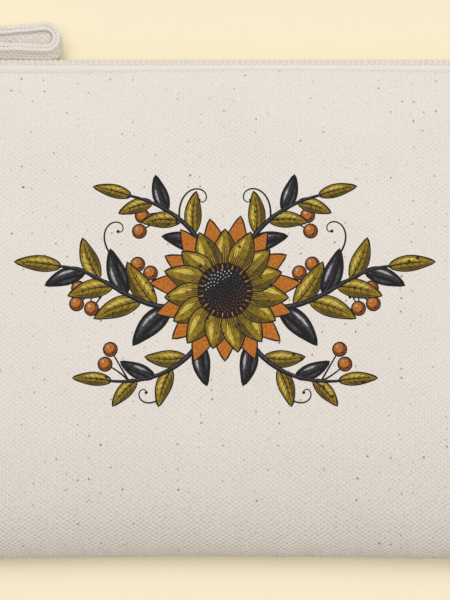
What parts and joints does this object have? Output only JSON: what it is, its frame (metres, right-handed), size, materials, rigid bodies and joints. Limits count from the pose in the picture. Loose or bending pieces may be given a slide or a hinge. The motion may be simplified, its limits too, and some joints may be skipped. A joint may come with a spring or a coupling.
{
  "type": "zip pouch",
  "caption": "Flat rectangular cotton canvas pouch with a zip along one long edge and a folded canvas strap as the zip pull.",
  "frame": {"origin": "middle of the back panel's flat resting face", "axes": "+X along the zip towards its open end, +Y from the bottom seam to the zip, +Z out of the back panel through the printed front"},
  "size_m": [0.2212, 0.1619, 0.0177],
  "materials": {
    "canvas": "matt woven",
    "tape": "matt woven",
    "coil": "satin",
    "metal": "satin"
  },
  "bodies": {
    "pouch": {"front_panel": "canvas", "back_panel": "canvas", "zip_tape_front": "tape", "zip_tape_back": "tape", "zip_teeth_front": "coil", "zip_teeth_back": "coil", "top_stop_front": "metal", "top_stop_back": "metal", "bottom_stop": "metal"},
    "slider": {"slider_body": "metal"},
    "puller": {"pull_ring": "metal", "pull_loop": "canvas"}
  },
  "joints": [
    {"name": "slider_slide", "type": "slide", "parent": "pouch", "child": "slider", "axis": [1, 0, 0], "range_m": [0, 0.1855], "deforming": ["zip_teeth_front", "zip_teeth_back"]},
    {"name": "puller_swing", "type": "hinge", "parent": "slider", "child": "puller", "pos_m": [-0.093, 0.0773, 0.0065], "axis": [0, 0, 1], "range_deg": [0, 150]}
  ]
}
